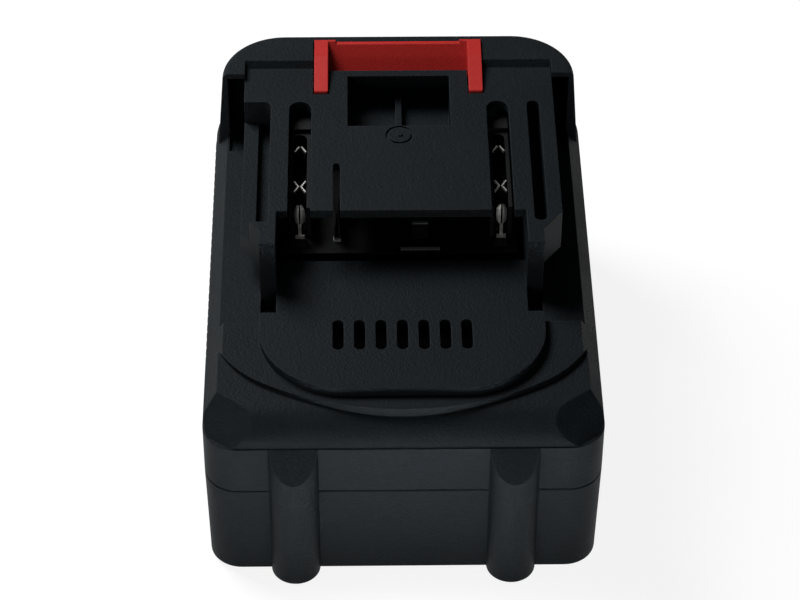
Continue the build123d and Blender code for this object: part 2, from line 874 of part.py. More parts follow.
# Spring plate: closes the latch's chamber from below, held by two heat-staked pins
with BuildPart() as spring_plate:
    with BuildSketch(Plane.XY.offset(plate_top - spring_plate_thickness)):
        with Locations((0, sum(plate_y) / 2)):
            Rectangle(2 * (plate_x - part_gap), plate_y[1] - plate_y[0] - 2 * part_gap)
        with Locations(*stake_places):
            Circle(stake_radius + part_gap, mode=Mode.SUBTRACT)
    extrude(amount=spring_plate_thickness)
    with BuildSketch(Plane.XY.offset(plate_top)):
        with Locations(*spring_places):
            Circle(latch_peg_radius)
    extrude(amount=latch_peg_height)
spring_plate.part.label = "spring_plate"
export_step(spring_plate.part, "parts/spring_plate.step")


# Springs: closed in the chamber, each a plain sleeve in the space of its coils
spring_bottom = plate_top + spring_gap
spring_height = latch_underside - spring_gap - spring_bottom
for side_name, place in zip(("left", "right"), spring_places):
    with BuildPart() as spring:
        with BuildSketch(Plane.XY.offset(spring_bottom)):
            with Locations(place):
                Circle(spring_radius + spring_wire_radius)
                Circle(spring_radius - spring_wire_radius, mode=Mode.SUBTRACT)
        extrude(amount=spring_height)
    spring.part.label = f"latch_spring_{side_name}"
    export_step(spring.part, f"parts/latch_spring_{side_name}.step")


def cell_at(y, z, direction):
    """One cell lying along X, its positive end pointing to the side of this sign."""
    end = cell_length / 2
    cap = end - cell_nub_height
    plane = Plane(origin=(0, y, z), x_dir=(direction, 0, 0), z_dir=(0, -direction, 0))
    with BuildPart(mode=Mode.PRIVATE) as cell:
        with BuildSketch(plane):
            with BuildLine():
                Polyline(
                    (-end, 0),
                    (-end, cell_radius),
                    (cap - cell_shoulder, cell_radius),
                    (cap, cell_radius - cell_shoulder),
                    (cap, cell_nub_radius),
                    (end, cell_nub_radius),
                    (end, 0),
                    close=True,
                )
            make_face()
        revolve(axis=Axis((0, y, z), (1, 0, 0)))
    return cell.part


# Cells: five columns of two, each column turned round against its neighbour
layers = (lower_cell_z, upper_cell_z)
cell_spots = [(y, z, 1 - 2 * (column % 2)) for column, y in enumerate(column_places) for z in layers]
for number, (y, z, direction) in enumerate(cell_spots, 1):
    cell = cell_at(y, z, direction)
    cell.label = f"cell_{number:02d}"
    export_step(cell, f"parts/cell_{number:02d}.step")


# Cell holders: a plate at each end of the cells, with a bore and a window for each one
pack_middle = (sum(column_places) / cell_columns, (lower_cell_z + upper_cell_z) / 2)
holder_web_x = cell_length / 2 + part_gap
holder_outer_x = holder_web_x + holder_web
holder_corner = cell_radius + holder_wall
holder_top = upper_cell_z + holder_shoulder
valleys = [y + column_pitch / 2 for y in column_places[:-1]]
peg_reach = case_width / 2 - case_wall - seat_gap - holder_outer_x


def holder_outline(trim):
    """Outline of a holder round all cells, cut flat above and below."""
    with BuildSketch(mode=Mode.PRIVATE) as outline:
        with Locations(pack_middle):
            Rectangle(column_span + 2 * (holder_corner - trim), layer_pitch + 2 * holder_corner)
        fillet(outline.vertices(), holder_corner - trim)
        with Locations(pack_middle):
            Rectangle(case_length, layer_pitch + 2 * holder_shoulder, mode=Mode.INTERSECT)
    return outline.sketch


body_outline = holder_outline(0)
web_outline = holder_outline(holder_trim)
with BuildPart() as right_holder:
    with BuildSketch(Plane.YZ.offset(holder_web_x)):
        add(body_outline)
        with Locations(pack_middle):
            with GridLocations(column_pitch, layer_pitch, cell_columns, len(layers)):
                Circle(cell_radius + bore_clearance, mode=Mode.SUBTRACT)
    extrude(amount=-holder_depth)
    with BuildSketch(Plane.YZ.offset(holder_web_x)):
        add(web_outline)
        with Locations(pack_middle):
            with GridLocations(column_pitch, layer_pitch, cell_columns, len(layers)):
                Rectangle(holder_window_width, holder_window_width, mode=Mode.SUBTRACT)
    extrude(amount=holder_web)
    with BuildSketch(Plane.YZ.offset(holder_outer_x)):
        with Locations(*[(y, pack_middle[1]) for y in valleys]):
            Rectangle(holder_peg_width, holder_peg_width)
    extrude(amount=peg_reach)
for holder_name, holder in (
    ("cell_holder_right", right_holder.part),
    ("cell_holder_left", right_holder.part.mirror(Plane.YZ)),
):
    holder.label = holder_name
    export_step(holder, f"parts/{holder_name}.step")


def nickel_strip(group):
    """Pressed strip over these columns on the right side, with a cup down to each cell."""
    places = [column_places[column] for column in group]
    middle = (sum(places) / len(places), pack_middle[1])
    cups = [(y, z) for y in places for z in layers]
    cup_depth = holder_outer_x - cell_length / 2
    with BuildPart(mode=Mode.PRIVATE) as strip:
        with BuildSketch(Plane.YZ.offset(holder_outer_x)) as outline:
            with Locations(middle):
                Rectangle(places[-1] - places[0] + 2 * strip_reach, layer_pitch + 2 * strip_reach)
            chamfer(outline.vertices(), strip_corner_cut)
            with Locations(middle):
                Circle(strip_hole_radius, mode=Mode.SUBTRACT)
        extrude(amount=strip_thickness)
        with BuildSketch(Plane.YZ.offset(holder_outer_x)):
            with Locations(*cups):
                Rectangle(strip_cup_width, strip_cup_width)
        extrude(amount=-cup_depth)
        with BuildSketch(Plane.YZ.offset(holder_outer_x + strip_thickness)):
            with Locations(*cups):
                Rectangle(strip_cup_width - 2 * strip_thickness, strip_cup_width - 2 * strip_thickness)
        extrude(amount=-cup_depth, mode=Mode.SUBTRACT)
    return strip.part


# Strips: pairs of columns, offset by one column between the sides, so that all follow one another
columns = list(range(cell_columns))
left_groups = [columns[first:first + 2] for first in range(0, cell_columns, 2)]
right_groups = [columns[:1]] + [columns[first:first + 2] for first in range(1, cell_columns, 2)]
for number, group in enumerate(right_groups, 1):
    strip = nickel_strip(group)
    strip.label = f"nickel_strip_right_{number}"
    export_step(strip, f"parts/nickel_strip_right_{number}.step")
for number, group in enumerate(left_groups, 1):
    strip = nickel_strip(group).mirror(Plane.YZ)
    strip.label = f"nickel_strip_left_{number}"
    export_step(strip, f"parts/nickel_strip_left_{number}.step")


# Insulating sheets between the strips and the case
sheet_x = holder_outer_x + strip_thickness + part_gap
with BuildPart() as right_sheet:
    with BuildSketch(Plane.YZ.offset(sheet_x)) as sheet_outline:
        with Locations(pack_middle):
            Rectangle(
                column_span + 2 * (cell_radius - sheet_inset),
                layer_pitch + 2 * (cell_radius - sheet_inset),
            )
        chamfer(sheet_outline.vertices(), sheet_corner_cut)
        with Locations(*[(y, pack_middle[1]) for y in valleys]):
            Rectangle(holder_peg_width + fit_gap, holder_peg_width + fit_gap, mode=Mode.SUBTRACT)
    extrude(amount=sheet_thickness)
for sheet_name, sheet in (
    ("insulation_right", right_sheet.part),
    ("insulation_left", right_sheet.part.mirror(Plane.YZ)),
):
    sheet.label = sheet_name
    export_step(sheet, f"parts/{sheet_name}.step")


# Leads: flat strips from the end columns over the holders and up to the board
foam_bottom = cell_top + part_gap
foam_top = foam_bottom + foam_thickness
board_bottom = foam_top + part_gap
board_top = board_bottom + board_thickness
lead_low = holder_top + part_gap
lead_outer_x = holder_outer_x + strip_thickness
foam_front = mouth_floor_y + foam_front_gap


def lead_blocks(valley_y, strip_edge_y):
    """Boxes of one lead on the right: from the strip's edge, up the holder and in under the board."""
    band = (valley_y - lead_width / 2, valley_y + lead_width / 2)
    arm = (min(band[0], strip_edge_y), max(band[1], strip_edge_y))
    arm_z = (upper_cell_z - lead_width / 2, upper_cell_z + lead_width / 2)
    return [
        box_between((holder_outer_x, lead_outer_x), arm, arm_z),
        box_between((holder_outer_x, lead_outer_x), band, (arm_z[0], lead_low + strip_thickness)),
        box_between((lead_inner_x, lead_outer_x), band, (lead_low, lead_low + strip_thickness)),
        box_between((lead_inner_x, lead_inner_x + strip_thickness), band, (lead_low, board_bottom)),
    ]


with BuildPart() as positive_side:
    add(lead_blocks(valleys[-1], column_places[-1] - strip_reach))
positive_lead = positive_side.part.mirror(Plane.YZ)
positive_lead.label = "positive_lead"
export_step(positive_lead, "parts/positive_lead.step")

board_run = box_between(
    (lead_inner_x + strip_thickness - lead_width, lead_inner_x + strip_thickness),
    (valleys[0] - lead_width / 2, foam_front - seat_gap),
    (board_bottom - strip_thickness, board_bottom),
)
with BuildPart() as negative_lead:
    add(lead_blocks(valleys[0], column_places[0] + strip_reach))
    add(board_run)
negative_lead.part.label = "negative_lead"
export_step(negative_lead.part, "parts/negative_lead.step")


# Foam pad and circuit board
foam_x = lead_inner_x - foam_side_gap
foam_pad = box_between((-foam_x, foam_x), (foam_front, bay_rear - foam_rear_gap), (foam_bottom, foam_top))
foam_pad.label = "foam_pad"
export_step(foam_pad, "parts/foam_pad.step")

board_x = arm_inner_x - board_side_gap
board_y = (mouth_floor_y - board_front_reach, bay_rear - board_rear_gap)
circuit_board = box_between((-board_x, board_x), board_y, (board_bottom, board_top))
circuit_board.label = "circuit_board"
export_step(circuit_board, "parts/circuit_board.step")

transistor_y = board_y[1] - transistor_rear_gap - transistor_length / 2
with BuildPart() as power_transistors:
    with BuildSketch(Plane.XY.offset(board_top)):
        with Locations((0, transistor_y)):
            with GridLocations(transistor_pitch, transistor_length, transistor_count, 1):
                Rectangle(transistor_width, transistor_length)
    extrude(amount=transistor_height)
power_transistors.part.label = "power_transistors"
export_step(power_transistors.part, "parts/power_transistors.step")


# Terminal block: base on the board, and a walled tower behind each slot
block_x = arm_inner_x - block_side_gap
block_y = (rail_front + block_front_setback, bay_rear - block_rear_gap)
block_top = board_top + block_base_height
tower_y = (rail_front + tower_front_setback, slot_rear - tower_rear_gap)
tower_x = tower_room + tower_wall
stop_front = tower_y[1] - tower_stop_length
connector_y = (rail_front - connector_front_reach, rail_front - connector_front_reach + connector_depth)
connector_notch = box_between(
    (connector_x - connector_width / 2 - seat_gap, connector_x + connector_width / 2 + seat_gap),
    (block_y[0] - overrun, connector_y[1] + seat_gap),
    (board_top, block_top),
)
with BuildPart() as terminal_block:
    with BuildSketch(Plane.XY.offset(board_top)):
        with Locations((0, sum(block_y) / 2)):
            Rectangle(2 * block_x, block_y[1] - block_y[0])
    extrude(amount=block_base_height)
    with BuildSketch(Plane.XY.offset(block_top)):
        with Locations((-terminal_x, sum(tower_y) / 2), (terminal_x, sum(tower_y) / 2)):
            Rectangle(2 * tower_x, tower_y[1] - tower_y[0])
    extrude(amount=tower_height)
    with BuildSketch(Plane.XY.offset(block_top)):
        with Locations((-terminal_x, stop_front - tower_room), (terminal_x, stop_front - tower_room)):
            Circle(tower_room)
        middle_y = (tower_y[0] - overrun + stop_front - tower_room) / 2
        with Locations((-terminal_x, middle_y), (terminal_x, middle_y)):
            Rectangle(2 * tower_room, stop_front - tower_room - tower_y[0] + overrun)
    extrude(amount=tower_height, mode=Mode.SUBTRACT)
    with BuildSketch(Plane.XY.offset(block_top)):
        stop_middle = tower_y[1] - (tower_stop_length - tower_wall) / 2
        with Locations((-terminal_x, stop_middle), (terminal_x, stop_middle)):
            Rectangle(2 * tower_x, tower_stop_length - tower_wall)
    extrude(amount=tower_stop_height)
    add(connector_notch, mode=Mode.SUBTRACT)
terminal_block.part.label = "terminal_block"
export_step(terminal_block.part, "parts/terminal_block.step")


leaf_front = rail_front + leaf_front_setback
leaf_rear = stop_front - leaf_rear_gap
leaf_first = rail_front + (leaf_rear - rail_front) * first_pinch_share


def leaf_outline(x):
    """Plan of the two leaves of one contact: flared in front and pinched together twice."""
    neck = leaf_front + (leaf_flare - leaf_pinch) + leaf_bend_length
    path = [
        (leaf_flare, leaf_front),
        (leaf_pinch, neck),
        (leaf_bulge, neck + leaf_bend_length),
        (leaf_bulge, leaf_first - leaf_bend_length),
        (leaf_pinch, leaf_first),
        (leaf_bulge, leaf_first + leaf_bend_length),
        (leaf_bulge, leaf_rear - leaf_bend_length),
        (leaf_pinch, leaf_rear),
    ]
    with BuildSketch(mode=Mode.PRIVATE) as outline:
        for sign in (-1, 1):
            with BuildLine():
                Polyline(*[(x + sign * offset, y) for offset, y in path])
            trace(line_width=leaf_thickness)
    return outline.sketch


# Power contacts: a foot on the block, two low leaves, and tall fingers where they flare and pinch
finger_gap_places = [
    (tower_y[0], leaf_first - finger_half_length),
    (leaf_first + finger_half_length, leaf_rear - finger_half_length),
]
for contact_name, x in (("positive_terminal", terminal_x), ("negative_terminal", -terminal_x)):
    leaves = leaf_outline(x)
    gap_under_flare = box_between(
        (x - tower_x, x + tower_x),
        (leaf_front - overrun, tower_y[0]),
        (block_top + contact_foot_thickness, block_top + contact_foot_thickness + contact_neck_height),
    )
    neck = box_between(
        (x - contact_neck_width / 2, x + contact_neck_width / 2),
        (tower_y[0] - contact_neck_width, tower_y[0]),
        (block_top, block_top + 2 * contact_foot_thickness + contact_neck_height),
    )
    foot = box_between(
        (x - contact_foot_width / 2, x + contact_foot_width / 2),
        (leaf_front, leaf_rear),
        (block_top, block_top + contact_foot_thickness),
    )
    finger_gaps = [
        box_between(
            (x - tower_x, x + tower_x),
            finger_gap,
            (block_top + leaf_wall_height, block_top + leaf_height + overrun),
        )
        for finger_gap in finger_gap_places
    ]
    with BuildPart() as contact:
        with BuildSketch(Plane.XY.offset(block_top)):
            add(leaves)
        extrude(amount=leaf_height)
        add(gap_under_flare, mode=Mode.SUBTRACT)
        add(finger_gaps, mode=Mode.SUBTRACT)
        add(neck)
        add(foot)
    contact.part.label = contact_name
    export_step(contact.part, f"parts/{contact_name}.step")


# Signal contact in the narrow slot
signal_y = (rail_front + signal_front_gap, rail_front + signal_front_gap + signal_leaf_length)
with BuildPart() as signal_terminal:
    with BuildSketch(Plane.XY.offset(block_top)):
        with Locations((-signal_x, sum(signal_y) / 2)):
            Rectangle(signal_foot_width, signal_leaf_length)
    extrude(amount=contact_foot_thickness)
    with BuildSketch(Plane.XY.offset(block_top)):
        for sign in (-1, 1):
            with BuildLine():
                Polyline(
                    (-signal_x + sign * signal_leaf_spread, signal_y[0]),
                    (-signal_x + sign * signal_leaf_pinch, sum(signal_y) / 2),
                    (-signal_x + sign * signal_leaf_spread, signal_y[1]),
                )
            trace(line_width=signal_leaf_thickness)
    extrude(amount=signal_leaf_height)
signal_terminal.part.label = "signal_terminal"
export_step(signal_terminal.part, "parts/signal_terminal.step")


# Data connector: a small open shell with its key standing at the rear
connector_room_x = connector_width / 2 - connector_wall
connector_room = box_between(
    (connector_x - connector_room_x, connector_x + connector_room_x),
    (connector_y[0], connector_y[1] - connector_wall),
    (board_top + connector_wall, board_top + connector_height - connector_wall),
)
connector_key = box_between(
    (connector_x - connector_key_width / 2, connector_x + connector_key_width / 2),
    (connector_y[1] - connector_key_length, connector_y[1]),
    (board_top + connector_height, board_top + connector_height + connector_key_height),
)
with BuildPart() as data_connector:
    with BuildSketch(Plane.XY.offset(board_top)):
        with Locations((connector_x, sum(connector_y) / 2)):
            Rectangle(connector_width, connector_depth)
    extrude(amount=connector_height)
    add(connector_room, mode=Mode.SUBTRACT)
    add(connector_key)
data_connector.part.label = "data_connector"
export_step(data_connector.part, "parts/data_connector.step")
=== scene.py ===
"""Tool battery pack: finishes, leaf contacts, wound latch springs, floor, lamps and camera, on its frame."""
import math

import bmesh
import bpy
from mathutils import Matrix, Vector


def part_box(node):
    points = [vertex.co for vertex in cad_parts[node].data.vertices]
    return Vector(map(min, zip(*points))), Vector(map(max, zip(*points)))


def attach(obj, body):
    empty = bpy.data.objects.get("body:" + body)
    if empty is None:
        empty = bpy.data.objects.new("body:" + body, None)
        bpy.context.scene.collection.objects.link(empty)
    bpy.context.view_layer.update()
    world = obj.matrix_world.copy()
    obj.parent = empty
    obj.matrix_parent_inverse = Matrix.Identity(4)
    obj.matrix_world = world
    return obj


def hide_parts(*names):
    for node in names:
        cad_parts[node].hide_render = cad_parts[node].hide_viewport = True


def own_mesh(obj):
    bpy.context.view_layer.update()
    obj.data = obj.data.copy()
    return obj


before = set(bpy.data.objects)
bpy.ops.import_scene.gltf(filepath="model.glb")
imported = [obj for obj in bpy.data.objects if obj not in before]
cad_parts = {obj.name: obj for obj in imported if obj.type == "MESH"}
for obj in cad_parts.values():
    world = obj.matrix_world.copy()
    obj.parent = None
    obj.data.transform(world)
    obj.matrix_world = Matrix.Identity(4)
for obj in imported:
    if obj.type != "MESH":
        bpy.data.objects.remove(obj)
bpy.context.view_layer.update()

MM = 0.001
# Width of the lighter band along an edge, partly rubbed wear and partly painted highlight, and how far the
# shading rounds that edge
WEAR_AND_HIGHLIGHT_RADIUS = 0.0004
SOFT_EDGE_RADIUS = 0.0003
BEVEL_SAMPLES = 4
# A lighter edge, partly rubbed wear and partly painted highlight, has its plastic's colour times the gain,
# plus the lift
RUBBED_AND_HIGHLIT_GAIN = 3.2
RUBBED_AND_HIGHLIT_LIFT = 0.02
# How strongly the moulded grain and the edge mask answer
PIT_SHARE = 0.5
GLOSS_WANDER = 0.22
BEND_GAIN = 5.0
# Rolled metal: how much finer its streaks run crosswise, and how dark a stain is
STREAK_STRETCH = 14.0
STAIN_SHADE = 0.72
# What is added to the noise before it breaks up a painted highlight
SCRATCH_LIFT = 0.45
SCUFF_LIFT = 0.4


# Node helpers
def new_group(name, inputs, outputs):
    """Empty node group with these named sockets, and its input and output nodes."""
    group = bpy.data.node_groups.new(name, "ShaderNodeTree")
    for label, kind, value in inputs:
        socket = group.interface.new_socket(label, in_out="INPUT", socket_type=kind)
        if value is not None:
            socket.default_value = value
    for label, kind in outputs:
        group.interface.new_socket(label, in_out="OUTPUT", socket_type=kind)
    return group, group.nodes.new("NodeGroupInput"), group.nodes.new("NodeGroupOutput")


def noise(nodes, links, vector, scale, detail, rough=0.5):
    node = nodes.new("ShaderNodeTexNoise")
    node.inputs["Scale"].default_value = scale
    node.inputs["Detail"].default_value = detail
    node.inputs["Roughness"].default_value = rough
    links.new(vector, node.inputs["Vector"])
    return node.outputs["Fac"]


def math_node(nodes, links, operation, first, second):
    node = nodes.new("ShaderNodeMath")
    node.operation = operation
    for socket, value in zip(node.inputs, (first, second)):
        if isinstance(value, (int, float)):
            socket.default_value = value
        else:
            links.new(value, socket)
    return node.outputs[0]


def clamped(nodes, links, value):
    held = nodes.new("ShaderNodeClamp")
    links.new(value, held.inputs["Value"])
    return held.outputs["Result"]


def between(nodes, links, value, at_zero, at_one):
    """Value from 0 to 1 turned into one between these two."""
    scaled = nodes.new("ShaderNodeMapRange")
    scaled.inputs["To Min"].default_value = at_zero
    scaled.inputs["To Max"].default_value = at_one
    links.new(value, scaled.inputs["Value"])
    return scaled.outputs["Result"]


def two_colours(nodes, links, factor, first, second):
    """First colour where the factor is 0, second where it is 1."""
    tint = nodes.new("ShaderNodeMix")
    tint.data_type = "RGBA"
    tint.inputs["A"].default_value = (*first, 1)
    tint.inputs["B"].default_value = (*second, 1)
    links.new(factor, tint.inputs["Factor"])
    return tint.outputs["Result"]


def two_colour_ramp(nodes, links, factor, first, second):
    """Colour ramp between two (position, colour) stops."""
    ramp = nodes.new("ShaderNodeValToRGB")
    for stop, (position, colour) in zip(ramp.color_ramp.elements, (first, second)):
        stop.position = position
        stop.color = (*colour, 1)
    links.new(factor, ramp.inputs["Fac"])
    return ramp.outputs["Color"]


def add_bumps(nodes, links, shader, height, strength, distance):
    bumps = nodes.new("ShaderNodeBump")
    bumps.inputs["Strength"].default_value = strength
    bumps.inputs["Distance"].default_value = distance
    links.new(height, bumps.inputs["Height"])
    links.new(bumps.outputs["Normal"], shader.inputs["Normal"])
    return bumps


def below(nodes, links, value, edge, softness):
    """Mask that is 1 below this edge and fades to 0 over this softness."""
    ramp = nodes.new("ShaderNodeMapRange")
    ramp.inputs["From Min"].default_value = edge + softness
    ramp.inputs["From Max"].default_value = edge - softness
    links.new(value, ramp.inputs["Value"])
    return ramp.outputs["Result"]


def above(nodes, links, value, edge, softness):
    return math_node(nodes, links, "SUBTRACT", 1.0, below(nodes, links, value, edge, softness))


# Shared node groups
def moulded_grain_group():
    """Grain of a spark-eroded mould: a fine height, and slow changes of colour and gloss."""
    group, inlet, outlet = new_group(
        "Moulded grain",
        [
            ("Vector", "NodeSocketVector", None),
            ("Grain scale", "NodeSocketFloat", 4200.0),
            ("Colour", "NodeSocketColor", (0.02, 0.02, 0.02, 1)),
            ("Worn colour", "NodeSocketColor", (0.03, 0.03, 0.03, 1)),
            ("Roughness", "NodeSocketFloat", 0.5),
        ],
        [("Height", "NodeSocketFloat"), ("Base", "NodeSocketColor"), ("Gloss", "NodeSocketFloat")],
    )
    nodes, links = group.nodes, group.links
    grain = nodes.new("ShaderNodeTexNoise")
    grain.inputs["Detail"].default_value = 3.0
    links.new(inlet.outputs["Vector"], grain.inputs["Vector"])
    links.new(inlet.outputs["Grain scale"], grain.inputs["Scale"])
    pits = nodes.new("ShaderNodeTexVoronoi")
    pits.inputs["Scale"].default_value = 1500.0
    links.new(inlet.outputs["Vector"], pits.inputs["Vector"])
    height = math_node(nodes, links, "MULTIPLY", pits.outputs["Distance"], PIT_SHARE)
    height = math_node(nodes, links, "ADD", grain.outputs["Fac"], height)
    links.new(height, outlet.inputs["Height"])
    cloud = noise(nodes, links, inlet.outputs["Vector"], scale=60.0, detail=4.0)
    speck = noise(nodes, links, inlet.outputs["Vector"], scale=900.0, detail=2.0)
    mixed = math_node(nodes, links, "MULTIPLY", cloud, speck)
    ramp = nodes.new("ShaderNodeMapRange")
    ramp.inputs["From Min"].default_value = 0.15
    ramp.inputs["From Max"].default_value = 0.42
    links.new(mixed, ramp.inputs["Value"])
    mix = nodes.new("ShaderNodeMix")
    mix.data_type = "RGBA"
    links.new(ramp.outputs["Result"], mix.inputs["Factor"])
    links.new(inlet.outputs["Colour"], mix.inputs["A"])
    links.new(inlet.outputs["Worn colour"], mix.inputs["B"])
    links.new(mix.outputs["Result"], outlet.inputs["Base"])
    wander = math_node(nodes, links, "SUBTRACT", cloud, 0.5)
    wander = math_node(nodes, links, "MULTIPLY", wander, GLOSS_WANDER)
    gloss = math_node(nodes, links, "ADD", inlet.outputs["Roughness"], wander)
    links.new(gloss, outlet.inputs["Gloss"])
    return group


def edge_wear_and_highlight_group():
    """Mask of the raised edges of a piece, broken up by noise, where edges are painted lighter: partly rubbed
    wear, partly painted highlight.
    """
    group, inlet, outlet = new_group(
        "Edge wear and highlight",
        [
            ("Vector", "NodeSocketVector", None),
            ("Radius", "NodeSocketFloat", WEAR_AND_HIGHLIGHT_RADIUS),
            ("Amount", "NodeSocketFloat", 0.5),
        ],
        [("Mask", "NodeSocketFloat")],
    )
    nodes, links = group.nodes, group.links
    rounded = nodes.new("ShaderNodeBevel")
    rounded.samples = BEVEL_SAMPLES
    links.new(inlet.outputs["Radius"], rounded.inputs["Radius"])
    shape = nodes.new("ShaderNodeNewGeometry")
    difference = nodes.new("ShaderNodeVectorMath")
    difference.operation = "DOT_PRODUCT"
    links.new(rounded.outputs["Normal"], difference.inputs[0])
    links.new(shape.outputs["Normal"], difference.inputs[1])
    bend = math_node(nodes, links, "SUBTRACT", 1.0, difference.outputs["Value"])
    bend = math_node(nodes, links, "MULTIPLY", bend, BEND_GAIN)
    patchy = noise(nodes, links, inlet.outputs["Vector"], scale=500.0, detail=3.0)
    mask = math_node(nodes, links, "MULTIPLY", bend, patchy)
    mask = math_node(nodes, links, "MULTIPLY", mask, inlet.outputs["Amount"])
    links.new(clamped(nodes, links, mask), outlet.inputs["Mask"])
    return group


MOULDED_GRAIN = moulded_grain_group()
EDGE_WEAR_AND_HIGHLIGHT = edge_wear_and_highlight_group()


# Materials
def bare_material(name):
    """Material with only its shader, and the piece's own coordinates."""
    material = bpy.data.materials.new(name)
    material.use_nodes = True
    nodes, links = material.node_tree.nodes, material.node_tree.links
    nodes.clear()
    shader = nodes.new("ShaderNodeBsdfPrincipled")
    output = nodes.new("ShaderNodeOutputMaterial")
    links.new(shader.outputs["BSDF"], output.inputs["Surface"])
    coordinates = nodes.new("ShaderNodeTexCoord")
    return material, nodes, links, shader, coordinates.outputs["Object"]


def moulded_plastic(name, colour, worn_and_highlit, roughness, grain_scale, bump, edge_light, specular):
    """Injection-moulded plastic with its mould's grain, and edges painted a little lighter: partly rubbed
    wear, partly painted highlight.
    """
    material, nodes, links, shader, place = bare_material(name)
    grain = nodes.new("ShaderNodeGroup")
    grain.node_tree = MOULDED_GRAIN
    grain.inputs["Grain scale"].default_value = grain_scale
    grain.inputs["Colour"].default_value = (*colour, 1)
    grain.inputs["Worn colour"].default_value = (*worn_and_highlit, 1)
    grain.inputs["Roughness"].default_value = roughness
    links.new(place, grain.inputs["Vector"])
    wear_and_highlight_mask = nodes.new("ShaderNodeGroup")
    wear_and_highlight_mask.node_tree = EDGE_WEAR_AND_HIGHLIGHT
    wear_and_highlight_mask.inputs["Radius"].default_value = WEAR_AND_HIGHLIGHT_RADIUS
    wear_and_highlight_mask.inputs["Amount"].default_value = edge_light
    links.new(place, wear_and_highlight_mask.inputs["Vector"])
    # Edges painted lighter: partly rubbed wear, partly painted highlight
    rubbed_and_highlit = nodes.new("ShaderNodeMix")
    rubbed_and_highlit.data_type = "RGBA"
    links.new(wear_and_highlight_mask.outputs["Mask"], rubbed_and_highlit.inputs["Factor"])
    links.new(grain.outputs["Base"], rubbed_and_highlit.inputs["A"])
    lighter = [min(1.0, RUBBED_AND_HIGHLIT_GAIN * part + RUBBED_AND_HIGHLIT_LIFT) for part in colour]
    rubbed_and_highlit.inputs["B"].default_value = (*lighter, 1)
    links.new(rubbed_and_highlit.outputs["Result"], shader.inputs["Base Color"])
    links.new(grain.outputs["Gloss"], shader.inputs["Roughness"])
    soft_edge = nodes.new("ShaderNodeBevel")
    soft_edge.samples = BEVEL_SAMPLES
    soft_edge.inputs["Radius"].default_value = SOFT_EDGE_RADIUS
    bumps = add_bumps(nodes, links, shader, grain.outputs["Height"], strength=bump, distance=0.00011)
    links.new(soft_edge.outputs["Normal"], bumps.inputs["Normal"])
    shader.inputs["Specular IOR Level"].default_value = specular
    return material


def rolled_metal(name, colour, roughness, streak_axis):
    """Rolled or drawn metal with faint streaks along one axis and small stains."""
    material, nodes, links, shader, place = bare_material(name)
    stretch = nodes.new("ShaderNodeMapping")
    stretch.inputs["Scale"].default_value = [
        1.0 if axis == streak_axis else STREAK_STRETCH for axis in "xyz"
    ]
    links.new(place, stretch.inputs["Vector"])
    streaks = noise(nodes, links, stretch.outputs["Vector"], scale=260.0, detail=4.0)
    stains = noise(nodes, links, place, scale=700.0, detail=3.0)
    stained = [STAIN_SHADE * part for part in colour]
    tint = two_colour_ramp(nodes, links, stains, (0.3, stained), (0.7, colour))
    links.new(tint, shader.inputs["Base Color"])
    shine = between(nodes, links, streaks, at_zero=max(0.05, roughness - 0.1), at_one=roughness + 0.12)
    links.new(shine, shader.inputs["Roughness"])
    shader.inputs["Metallic"].default_value = 1.0
    add_bumps(nodes, links, shader, streaks, strength=0.25, distance=0.00002)
    return material


def contact_metal(name, tip_height, nose_y, nose_heights):
    """Tinned metal painted dark as shade, with painted highlights, partly rubbed wear, on the finger tips and
    on the nose where a blade first slides in.
    """
    material, nodes, links, shader, place = bare_material(name)
    parts = nodes.new("ShaderNodeSeparateXYZ")
    links.new(place, parts.inputs["Vector"])
    y, height = parts.outputs["Y"], parts.outputs["Z"]
    tip = above(nodes, links, height, tip_height, softness=0.00012)
    nose_foot, nose_top = (below(nodes, links, height, level, softness=0.00012) for level in nose_heights)
    raised = math_node(nodes, links, "SUBTRACT", nose_top, nose_foot)
    nose = math_node(nodes, links, "MULTIPLY", below(nodes, links, y, nose_y, softness=0.0003), raised)
    rubbed_and_highlit = math_node(nodes, links, "MAXIMUM", tip, nose)
    scratches = noise(nodes, links, place, scale=1500.0, detail=4.0)
    broken = math_node(nodes, links, "ADD", scratches, SCRATCH_LIFT)
    worn_and_highlit = clamped(nodes, links, math_node(nodes, links, "MULTIPLY", rubbed_and_highlit, broken))
    # Dark colour is painted shade; bright colour is a painted highlight, partly rubbed wear
    tint = two_colours(nodes, links, worn_and_highlit, (0.02, 0.02, 0.021), (0.78, 0.77, 0.74))
    links.new(tint, shader.inputs["Base Color"])
    links.new(between(nodes, links, worn_and_highlit, at_zero=0.62, at_one=0.38), shader.inputs["Roughness"])
    shader.inputs["Metallic"].default_value = 0.85
    add_bumps(nodes, links, shader, scratches, strength=0.3, distance=0.00003)
    return material


